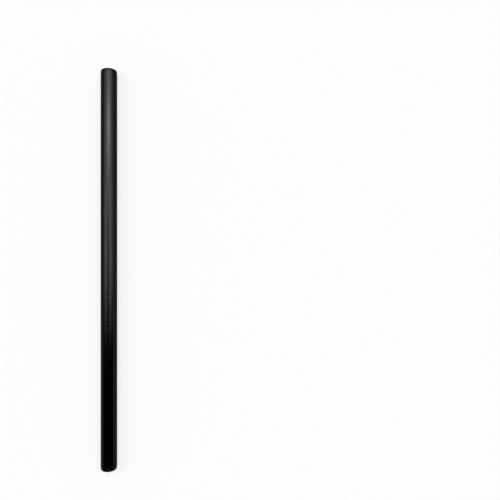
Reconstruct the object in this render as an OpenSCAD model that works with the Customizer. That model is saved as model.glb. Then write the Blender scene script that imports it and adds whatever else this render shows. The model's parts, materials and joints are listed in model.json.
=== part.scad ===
// Straight drinking straw of black glass, lying on its side along X.
// It is one length of drawn tube. Both cut ends are melted smooth, so each end
// draws in a little and its lip is round all the way over, with no flat.

/* [Tube] */
// Length from lip to lip
length = 200; // [120:1:300]
// Outside diameter of the tube
outer_d = 8; // [6:0.1:14]
// Thickness of the glass wall
wall = 1.5; // [1:0.05:2.2]

/* [Melted ends] */
// Radius of the lip's outer edge, held back by the wall
outer_lip_r = 1.1; // [0.4:0.05:1.3]
// How far the outside draws in towards the lip, on the radius
draw_in = 0.1; // [0.02:0.01:0.2]
// Length from the lip to where the drawing in starts
shoulder_l = 3; // [2:0.1:8]

/* [Hidden] */
$fn = 96;

// Least radius that melting leaves on the lip's inner edge
inner_lip_min = 0.1;

outer_r = outer_d / 2;
bore_r = outer_r - wall;
end_x = length / 2;

// The lip's two arcs share the wall and meet at the crest
outer_lip = min(outer_lip_r, wall - draw_in - inner_lip_min);
inner_lip = wall - draw_in - outer_lip;
outer_lip_centre = [bore_r + inner_lip, end_x - outer_lip];
inner_lip_centre = [bore_r + inner_lip, end_x - inner_lip];

// The shoulder is one wide arc, tangent to the straight tube and to the lip's outer arc
lip_depth = draw_in + outer_lip;
lip_ahead = shoulder_l - outer_lip;
shoulder_r = (lip_depth ^ 2 + lip_ahead ^ 2 - outer_lip ^ 2) / (2 * draw_in);
shoulder_centre = [outer_r - shoulder_r, end_x - shoulder_l];
lip_start = asin(lip_ahead / (shoulder_r - outer_lip));

// Draws what lies outside an arc of the section, between two directions from its centre.
// The reach is how far out the glass to be taken away may lie.
module outside_arc(centre, r, from, to, reach) {
    middle = (from + to) / 2;
    corner = reach / cos(middle - from);
    translate(centre)
        difference() {
            polygon([
                [0, 0],
                reach * [cos(from), sin(from)],
                corner * [cos(middle), sin(middle)],
                reach * [cos(to), sin(to)]
            ]);
            circle(r);
        }
}

// Draws what melting takes off the square end of the wall
module melted_away() {
    outside_arc(shoulder_centre, shoulder_r, 0, 2 * lip_start, shoulder_r + shoulder_l);
    outside_arc(outer_lip_centre, outer_lip, lip_start, 90, lip_depth + outer_lip);
    outside_arc(inner_lip_centre, inner_lip, 90, 180, 2 * inner_lip);
}

// Section of the wall, drawn with the straw's axis upright
module wall_section() {
    difference() {
        translate([bore_r, -end_x])
            square([wall, length]);
        for (end = [0, 1])
            mirror([0, end])
                melted_away();
    }
}

module straw() {
    color([0.03, 0.03, 0.035])
        rotate([0, 90, 0])
            rotate_extrude()
                wall_section();
}

straw();
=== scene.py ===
# %% [markdown]
# A straight drinking straw of black glass lies on a pale table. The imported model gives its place
# and its size, and this script gives it its looks: a finely drawn mesh, a glass material and
# the light of a small studio. Every length is in metres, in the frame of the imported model.

import json
import math

import bpy
import numpy as np
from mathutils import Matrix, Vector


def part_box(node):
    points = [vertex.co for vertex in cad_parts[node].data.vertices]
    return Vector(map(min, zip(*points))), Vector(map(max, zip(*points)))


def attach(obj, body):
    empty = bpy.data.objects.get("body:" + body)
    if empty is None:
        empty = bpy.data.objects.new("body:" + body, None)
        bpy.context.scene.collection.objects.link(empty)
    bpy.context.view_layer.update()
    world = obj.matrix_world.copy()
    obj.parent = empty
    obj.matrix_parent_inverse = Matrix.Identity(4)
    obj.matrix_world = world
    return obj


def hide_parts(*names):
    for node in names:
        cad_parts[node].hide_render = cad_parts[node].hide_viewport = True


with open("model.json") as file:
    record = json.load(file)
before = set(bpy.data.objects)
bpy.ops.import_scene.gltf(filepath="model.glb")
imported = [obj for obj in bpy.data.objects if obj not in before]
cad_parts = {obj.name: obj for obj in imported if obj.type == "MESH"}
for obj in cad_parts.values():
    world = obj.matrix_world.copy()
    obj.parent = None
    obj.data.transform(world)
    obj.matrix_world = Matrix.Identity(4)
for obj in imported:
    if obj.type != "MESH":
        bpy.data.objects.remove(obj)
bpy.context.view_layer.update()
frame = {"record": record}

# %% [markdown]
# The straw is one length of glass tube, so a few numbers say all of its shape. The record's two
# mounts already hold most of them: the bore, the outside, and how far each runs straight. What is
# left over at each end is the melted part, so it is worked out here instead of being typed again.

# %% Read the sizes
MM = 0.001
DRAW_IN = 0.1 * MM

mounts = {mount["name"]: mount for mount in frame["record"]["mounts"]}
low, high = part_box("straw")
end_x = high.x
bore_r = mounts["bore"]["dims"]["r_mm"] * MM
outer_r = mounts["outside"]["dims"]["r_mm"] * MM
inner_lip = end_x - mounts["bore"]["dims"]["length_mm"] * MM / 2
shoulder_l = end_x - mounts["outside"]["dims"]["length_mm"] * MM / 2
outer_lip = outer_r - bore_r - DRAW_IN - inner_lip
print(f"wall {(outer_r - bore_r) / MM:.2f} mm, lips {outer_lip / MM:.2f} and {inner_lip / MM:.2f} mm")

# %% [markdown]
# A cut glass tube has sharp ends, so the maker turns them in a flame until they melt. The glass
# pulls itself round, and the tube draws in a little behind the lip. The wall's section is then
# made of arcs that meet without a corner. One function gives any of them: an angle turns from
# straight outwards towards the end, and the point lies at that angle from the arc's centre.


# %% Draw an arc of the wall's section
def arc(centre, radius, start, end, count):
    """Points of an arc as (x, r): centre plus radius times (sine, cosine) of an even run of angles."""
    turn = np.linspace(start, end, count, endpoint=False)
    return np.stack([centre[0] + radius * np.sin(turn), centre[1] + radius * np.cos(turn)], axis=1)


print("a quarter turn in three steps starts at", arc((0, 0), 1, 0, math.pi / 2, 3).round(2).tolist())

# %% [markdown]
# The section of the wall is one closed loop: along the outside, over one lip, back through the
# bore and over the other lip. Each end is a wide shoulder arc, then the two arcs of the lip. The
# second half of the loop is the first half turned end for end, so only one half is worked out.

# %% Close the section of the wall
SHOULDER_RINGS = 14
OUTER_LIP_RINGS = 18
INNER_LIP_RINGS = 8
OUTSIDE_RINGS = 110
BORE_RINGS = 60


def straight(from_x, to_x, radius, count):
    """Points of a straight stretch as (x, r): even steps along x at one radius."""
    return np.stack([np.linspace(from_x, to_x, count, endpoint=False), np.full(count, radius)], axis=1)


def half_section():
    """Half of the wall's loop as (x, r), from the middle of the outside to the middle of the bore.

    The shoulder's radius makes its arc tangent both to the straight outside and to the lip."""
    lip_r = bore_r + inner_lip
    ahead = shoulder_l - outer_lip
    shoulder_r = ((DRAW_IN + outer_lip) ** 2 + ahead**2 - outer_lip**2) / (2 * DRAW_IN)
    lip_start = math.asin(ahead / (shoulder_r - outer_lip))
    quarter = math.pi / 2
    return np.concatenate([
        straight(0, end_x - shoulder_l, outer_r, OUTSIDE_RINGS // 2),
        arc((end_x - shoulder_l, outer_r - shoulder_r), shoulder_r, 0, lip_start, SHOULDER_RINGS),
        arc((end_x - outer_lip, lip_r), outer_lip, lip_start, quarter, OUTER_LIP_RINGS),
        arc((end_x - inner_lip, lip_r), inner_lip, quarter, 2 * quarter, INNER_LIP_RINGS),
        straight(end_x - inner_lip, 0, bore_r, BORE_RINGS // 2),
    ])


half = half_section()
middle_of_bore = np.array([[0, bore_r]])
other_half = half[:0:-1] * (-1, 1)
section = np.concatenate([half, middle_of_bore, other_half])
print(f"the wall's section has {len(section)} points")

# %% [markdown]
# A tube that is pulled hot from the furnace is never quite round or quite even. Its radius
# breathes by about a hundredth of a millimetre, and the oval slowly turns along the tube.
# Nobody sees that in the outline, but it makes a long highlight wander a little, as it does on
# real glass. A sum of a few slow waves is enough, and it stays the same at each run.

# %% Carry the section round the axis
SEGMENTS = 144
OVALITY = 0.012 * MM
BREATHING = 0.008 * MM
OVAL_TURN = 9.0
BREATHING_WAVES = (37.0, 92.0, 171.0)


def drawn_radius(x, radius, turn):
    """Radius of the drawn glass: the true one, an oval that turns along x, and slow waves along x."""
    oval = OVALITY * np.cos(2 * turn + OVAL_TURN * x)
    waves = sum(np.sin(wave * x + wave) for wave in BREATHING_WAVES)
    return radius + oval + BREATHING * waves / len(BREATHING_WAVES)


def tube_surface(section, segments):
    """Grid of points: each point of the section, carried round the x axis in even turns."""
    turn = np.linspace(0, 2 * np.pi, segments, endpoint=False)[None, :]
    x = section[:, :1]
    radius = drawn_radius(x, section[:, 1:], turn)
    return np.stack([x + 0 * turn, radius * np.cos(turn), radius * np.sin(turn)], axis=2)


points = tube_surface(section, SEGMENTS)
print("grid of the tube:", points.shape, "lowest point", round(float(points[..., 2].min()) / MM, 3), "mm")

# %% [markdown]
# Both directions of this grid run back into themselves, as on a ring, so the mesh has no seam
# and no pole to close. Each quad joins a point to its neighbours, and rolling the array of
# numbers by one finds them. The order of the four corners makes the face look outwards. The
# signed volume is a good test: it is positive only when the faces point out of the glass.


# %% Make the mesh
def ring_quads(rows, columns):
    """Corner numbers of the quads of a grid that closes in both directions, facing outwards."""
    number = np.arange(rows * columns).reshape(rows, columns)
    across = np.roll(number, -1, axis=1)
    along = np.roll(number, -1, axis=0)
    both = np.roll(along, -1, axis=1)
    return np.stack([number, across, both, along], axis=2).reshape(-1, 4)


def signed_volume(points, quads):
    """Sum over the quads' two triangles of corner . (corner x corner) / 6."""
    a, b, c, d = (points[quads[:, corner]] for corner in range(4))
    return float((np.cross(b, c) * a).sum() + (np.cross(c, d) * a).sum()) / 6


def mesh_object(name, points, quads):
    """A smooth-shaded object at the origin, with its place in its mesh."""
    mesh = bpy.data.meshes.new(name)
    mesh.from_pydata(points.tolist(), [], quads.tolist())
    mesh.shade_smooth()
    made = bpy.data.objects.new(name, mesh)
    bpy.context.scene.collection.objects.link(made)
    return made


quads = ring_quads(len(section), SEGMENTS)
corners = points.reshape(-1, 3)
straw = mesh_object("straw_tube", corners, quads)
print(f"{2 * len(quads)} triangles, {signed_volume(corners, quads) / MM**3:.0f} mm3 of glass")

# %% [markdown]
# Shader nodes are easier to read as sums than as boxes and wires. This class wraps one output
# socket, and adding, taking away or multiplying wrapped sockets adds the Math node for it. Any
# other node comes from one method, which sets the node's settings first and its sockets after.


# %% A small language for shader maths
class Signal:
    """One output socket of a node tree, or the bare tree to start from."""

    def __init__(self, tree, socket=None):
        self.tree = tree
        self.socket = socket

    def node(self, kind, settings=None, sockets=None):
        """Adds a node, sets its settings, fills its sockets and gives back its outputs by name."""
        made = self.tree.nodes.new(kind)
        for name, value in (settings or {}).items():
            setattr(made, name, value)
        for name, value in (sockets or {}).items():
            if isinstance(value, Signal):
                self.tree.links.new(value.socket, made.inputs[name])
            else:
                made.inputs[name].default_value = value
        return {output.identifier: Signal(self.tree, output) for output in made.outputs}

    def maths(self, operation, *values):
        """A Math node of this operation on the values."""
        return self.node("ShaderNodeMath", {"operation": operation}, dict(enumerate(values)))["Value"]

    def __add__(self, other):
        return self.maths("ADD", self, other)

    def __radd__(self, other):
        return self.maths("ADD", other, self)

    def __sub__(self, other):
        return self.maths("SUBTRACT", self, other)

    def __rsub__(self, other):
        return self.maths("SUBTRACT", other, self)

    def __mul__(self, other):
        return self.maths("MULTIPLY", self, other)

    def __rmul__(self, other):
        return self.maths("MULTIPLY", other, self)

    def __truediv__(self, other):
        return self.maths("DIVIDE", self, other)

    def ramp(self, start, end):
        """Rises smoothly from 0 to 1 while the signal goes from start to end."""
        sockets = {"Value": self, "From Min": start, "From Max": end}
        return self.node("ShaderNodeMapRange", {"interpolation_type": "SMOOTHSTEP"}, sockets)["Result"]

    def bell(self, middle, reach):
        """Bell curve: the exponential of minus the square of the distance from the middle, over reach."""
        away = (self - middle) / reach
        return self.maths("EXPONENT", 0 - away * away)

    def blend_colours(self, factor, first, second):
        """A Mix node for colours. Its inputs share their names, so they are given by number."""
        sockets = {0: factor, 6: first, 7: second}
        return self.node("ShaderNodeMix", {"data_type": "RGBA"}, sockets)["Result_Color"]


# %% [markdown]
# Patterns on the glass are read from its own coordinates in metres. Stretching them before a
# noise texture stretches the noise the other way, so one helper makes the long thin lines that
# drawing leaves, the longish blots of a wiped surface and the even grain.


# %% Noise on the glass
def stretched_noise(here, stretch, detail):
    """Noise between 0 and 1, with stretch giving how many of its blots fit in a metre each way."""
    place = here.node("ShaderNodeVectorMath", {"operation": "MULTIPLY"}, {0: here, 1: stretch})["Vector"]
    sockets = {"Vector": place, "Scale": 1.0, "Detail": detail}
    return here.node("ShaderNodeTexNoise", None, sockets)["Fac"]


# %% [markdown]
# Black glass takes in nearly all the light that enters it, so its own colour is close to none,
# and all that shows is the thin reflection of its surface. Glass turns back about four parts in
# a hundred straight on and far more at a glance, which the index of refraction gives by itself.
# Handling and washing leave a thin film, so the level is set a little under that of clean glass.

# %% Bare glass and its black body
GLASS_IOR = 1.47
FILMED_LEVEL = 0.43
DEEP_BLACK = (0.0003, 0.0003, 0.0003, 1)
WORN_BLACK = (0.0008, 0.0008, 0.0008, 1)
MATT = 0.5
NO_GLOSS = 0.0


def glass_shader(colour, roughness, normal):
    """A Principled shader for opaque glass. What is the same all over sits on its own sockets."""
    sockets = {"Base Color": colour, "Roughness": roughness, "Normal": normal}
    sockets["IOR"] = GLASS_IOR
    sockets["Specular IOR Level"] = FILMED_LEVEL
    return normal.node("ShaderNodeBsdfPrincipled", None, sockets)["BSDF"]


def matt_shader(start):
    """The bare black body, with no reflection at all."""
    sockets = {"Base Color": DEEP_BLACK, "Roughness": MATT, "Specular IOR Level": NO_GLOSS}
    return start.node("ShaderNodeBsdfPrincipled", None, sockets)["BSDF"]


print("straight on, clean glass turns back", round(((GLASS_IOR - 1) / (GLASS_IOR + 1)) ** 2, 3))

# %% [markdown]
# What tells a real straw from a perfect one is the finish: faint lines from the drawing, a fine
# grain, and places where wiping and handling left the gloss a little duller. Noise swings about
# its middle, so taking the middle away makes the finish vary both ways. At a low glance clean
# glass would also draw a bright line of the table down both sides. This straw stays dark up to
# its outline, so a Layer Weight node hands most of each side's edge over to the bare body.

# %% Black glass with its finish
NOISE_MIDDLE = 0.5
LINES_PER_M = (60, 1200, 1200)
LINES_DETAIL = 2.0
LINE_DEPTH = 0.016 * MM
LINES_DULL = 0.05
GRAIN_PER_M = (600, 600, 600)
GRAIN_DETAIL = 3.0
GRAIN_DEPTH = 0.034 * MM
GRAIN_DULL = 0.06
BLOTS_PER_M = (55, 190, 190)
BLOTS_DETAIL = 4.0
BLOTS_EDGE = (0.42, 0.72)
BLOTS_DULL = 0.04
GLOSS = 0.07
HEIGHT_UNIT = 1.0
EVEN_BLEND = 0.5
RIM_DARKNESS = 0.80
RIM_EDGE = (0.05, 0.28)


def black_glass():
    """Opaque black glass: near-black body, glass reflection, drawn lines, grain and dull blots."""
    made = bpy.data.materials.new("black_glass")
    made.use_nodes = True
    made.node_tree.nodes.clear()
    start = Signal(made.node_tree)
    here = start.node("ShaderNodeTexCoord")["Object"]
    lines = stretched_noise(here, LINES_PER_M, LINES_DETAIL)
    grain = stretched_noise(here, GRAIN_PER_M, GRAIN_DETAIL)
    blots = stretched_noise(here, BLOTS_PER_M, BLOTS_DETAIL).ramp(*BLOTS_EDGE)
    colour = start.blend_colours(blots, DEEP_BLACK, WORN_BLACK)
    swing = LINES_DULL * (lines - NOISE_MIDDLE) + GRAIN_DULL * (grain - NOISE_MIDDLE)
    roughness = GLOSS + BLOTS_DULL * blots + swing
    height = LINE_DEPTH * lines + GRAIN_DEPTH * grain
    normal = start.node("ShaderNodeBump", None, {"Distance": HEIGHT_UNIT, "Height": height})["Normal"]
    rim = start.node("ShaderNodeLayerWeight", None, {"Blend": EVEN_BLEND})["Facing"].ramp(*RIM_EDGE)
    sockets = {0: RIM_DARKNESS * rim, 1: glass_shader(colour, roughness, normal), 2: matt_shader(start)}
    surface = start.node("ShaderNodeMixShader", None, sockets)["Shader"]
    start.node("ShaderNodeOutputMaterial", None, {"Surface": surface})
    return made


straw.data.materials.append(black_glass())
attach(straw, "root")
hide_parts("straw")
print("material nodes:", len(straw.data.materials[0].node_tree.nodes))

# %% [markdown]
# The table is a wide pale sheet just under the straw. Part of its light is its own, for the rays
# that the camera, a gloss or a clear body sends out, so that it looks white without more light
# on the glass. The rest is a plain matt surface, and that part keeps the straw's soft shadow.

# %% Pale table
TABLE_HALF = 6.0
TABLE_GAP = 0.03 * MM
TABLE_COLOUR = (0.93, 0.93, 0.93, 1)
TABLE_GLOW = 0.72
PLAIN_WHITE = 1.0


def pale_table():
    """Matt white, with a share of plain white glow for the rays that look at it."""
    made = bpy.data.materials.new("pale_table")
    made.use_nodes = True
    made.node_tree.nodes.clear()
    start = Signal(made.node_tree)
    path = start.node("ShaderNodeLightPath")
    looks = path["Is Camera Ray"] + path["Is Glossy Ray"] + path["Is Transmission Ray"]
    share = TABLE_GLOW * looks.maths("MINIMUM", looks, 1)
    matt = start.node("ShaderNodeBsdfDiffuse", None, {"Color": TABLE_COLOUR})["BSDF"]
    glow = start.node("ShaderNodeEmission", None, {"Strength": PLAIN_WHITE})["Emission"]
    both = start.node("ShaderNodeMixShader", None, {0: share, 1: matt, 2: glow})["Shader"]
    start.node("ShaderNodeOutputMaterial", None, {"Surface": both})
    return made


sheet = np.array([(-1, -1), (1, -1), (1, 1), (-1, 1)]) * TABLE_HALF
sheet = np.column_stack([sheet, np.full(4, low.z - TABLE_GAP)])
table = mesh_object("table", sheet, np.array([[0, 1, 2, 3]]))
table.data.materials.append(pale_table())
print("table at height", round(low.z / MM, 2), "mm")

# %% [markdown]
# Black glass shows nothing but reflections, so the light is designed as the picture that the
# glass mirrors. It could be built from area lamps, but a world that is a function of direction
# is smoother and easier to steer. Two numbers say a direction: how far it leans along the straw,
# and its angle across the straw from straight up. The main light is one wide diffuser overhead.
# It has a dark slit where the camera looks through, and it ends before the straw's far part,
# which therefore fades to black.


# %% Diffuser overhead
DIFFUSER = 2.5
DIFFUSER_ANGLE = (math.radians(8), math.radians(58))
DIFFUSER_START = (-0.205, -0.005)
DIFFUSER_END = (0.51, 0.76)
SIDE_PANEL = 1.5
SIDE_PANEL_ANGLE = (math.radians(28), math.radians(60))
SLIT_DARKNESS = 0.95
SLIT_ANGLE = (math.radians(5), math.radians(13))
SLIT_END = (-0.03, 0.20)


def diffuser(lean, angle):
    """A bell across the straw and a panel on its left, times a band along it, times the slit."""
    across = DIFFUSER * angle.bell(*DIFFUSER_ANGLE) + SIDE_PANEL * (0 - angle).ramp(*SIDE_PANEL_ANGLE)
    along = lean.ramp(*DIFFUSER_START) * (1 - lean.ramp(*DIFFUSER_END))
    slit = SLIT_DARKNESS * angle.bell(*SLIT_ANGLE) * (1 - lean.ramp(*SLIT_END))
    return across * along * (1 - slit)


print("the diffuser spans leans from", DIFFUSER_START[0], "to", DIFFUSER_END[1])

# %% [markdown]
# A soft lamp behind part of the diffuser makes the brightest stretch of the highlight. A second
# one hangs beyond the dark, far along the straw. The camera's picture doesn't catch it, but it
# draws a line of light down the straw when somebody walks round to the other side.


# %% Two soft lamps
LAMP = 3.2
LAMP_LEAN = (0.23, 0.058)
LAMP_ANGLE = (math.radians(8), math.radians(18))
FAR_LAMP = 1.5
FAR_LAMP_LEAN = (-0.66, 0.10)
FAR_LAMP_ANGLE = (math.radians(15), math.radians(25))


def lamps(lean, angle):
    """The sum of two bells, each the product of one along the straw and one across it."""
    near = LAMP * lean.bell(*LAMP_LEAN) * angle.bell(*LAMP_ANGLE)
    far = FAR_LAMP * lean.bell(*FAR_LAMP_LEAN) * angle.bell(*FAR_LAMP_ANGLE)
    return near + far


print("the lamps lean", LAMP_LEAN[0], "and", FAR_LAMP_LEAN[0], "along the straw")

# %% [markdown]
# A low pale wall stands all round the table, so a view from the side has a plain background and
# the glass mirrors that same wall. It hides the lights that are behind it. On one side a dark
# board hangs before its upper part, as photographers place one to keep an edge of black glass
# dark. The wall stays pale below the board, where a view from the other side looks at it.


# %% Low wall and dark board
WALL = 0.85
WALL_TOP = (0.40, 0.50)
BOARD_START = (-0.26, -0.06)
BOARD_END = (0.50, 0.65)
BOARD_ANGLE = (math.radians(30), math.radians(50))
BOARD_FOOT = (0.20, 0.24)


def wall_share(lean, angle, height):
    """1 on the wall and 0 above it, with a hole of soft edges where the board hangs."""
    far = 0 - lean
    along = far.ramp(*BOARD_START) * (1 - far.ramp(*BOARD_END))
    board = along * angle.ramp(*BOARD_ANGLE) * height.ramp(*BOARD_FOOT)
    return (1 - height.ramp(*WALL_TOP)) * (1 - board)


print("the wall's top is", round(math.degrees(math.asin(WALL_TOP[0]))), "degrees above the table")

# %% [markdown]
# The world shader turns each direction into its lean, its angle and its height, and adds the
# parts up. Its background colour is set to white, because that of a new node is a light grey.
# Blender's default view transform bends the colours, so the plain Standard one takes its place.

# %% Put the studio together
WHITE = (1, 1, 1, 1)
ROOM = 0.002


def studio():
    """World light: the lights where no wall stands before them, and the wall's own paleness."""
    world = bpy.data.worlds.new("studio")
    world.use_nodes = True
    world.node_tree.nodes.clear()
    start = Signal(world.node_tree)
    direction = start.node("ShaderNodeTexCoord")["Generated"]
    part = start.node("ShaderNodeSeparateXYZ", None, {"Vector": direction})
    lean = part["X"]
    angle = start.maths("ARCTAN2", 0 - part["Y"], part["Z"])
    wall = wall_share(lean, angle, part["Z"])
    lights = diffuser(lean, angle) + lamps(lean, angle) + ROOM
    sockets = {"Color": WHITE, "Strength": wall * WALL + (1 - wall) * lights}
    light = start.node("ShaderNodeBackground", None, sockets)["Background"]
    start.node("ShaderNodeOutputWorld", None, {"Surface": light})
    return world


bpy.context.scene.world = studio()
bpy.context.scene.view_settings.view_transform = "Standard"
print("studio of", len(bpy.context.scene.world.node_tree.nodes), "nodes")

# %% [markdown]
# The camera looks straight down at the table from 250 mm above the straw, whose +X end is at
# the top of the picture. The straw lies well left of the middle, so the camera sees a little
# more of its right side. Each end shows its round outline, and neither shows its mouth. The
# lens is as long as the sensor is wide, so a thing as wide as it is far away fills the picture.

# %% Camera
CAMERA_ALONG = 9.9 * MM
CAMERA_ASIDE = -70.6 * MM
CAMERA_HEIGHT = 250.3 * MM
SENSOR = 36
LENS = 36
CLIP_START = 10 * MM

camera_data = bpy.data.cameras.new("camera")
camera_data.lens = LENS
camera_data.sensor_width = SENSOR
camera_data.clip_start = CLIP_START
camera = bpy.data.objects.new("camera", camera_data)
camera.location = (CAMERA_ALONG, CAMERA_ASIDE, CAMERA_HEIGHT)
camera.rotation_euler = (0, 0, -math.pi / 2)
bpy.context.scene.collection.objects.link(camera)
bpy.context.scene.camera = camera
print("camera", round(CAMERA_HEIGHT / MM), "mm above the straw's axis")
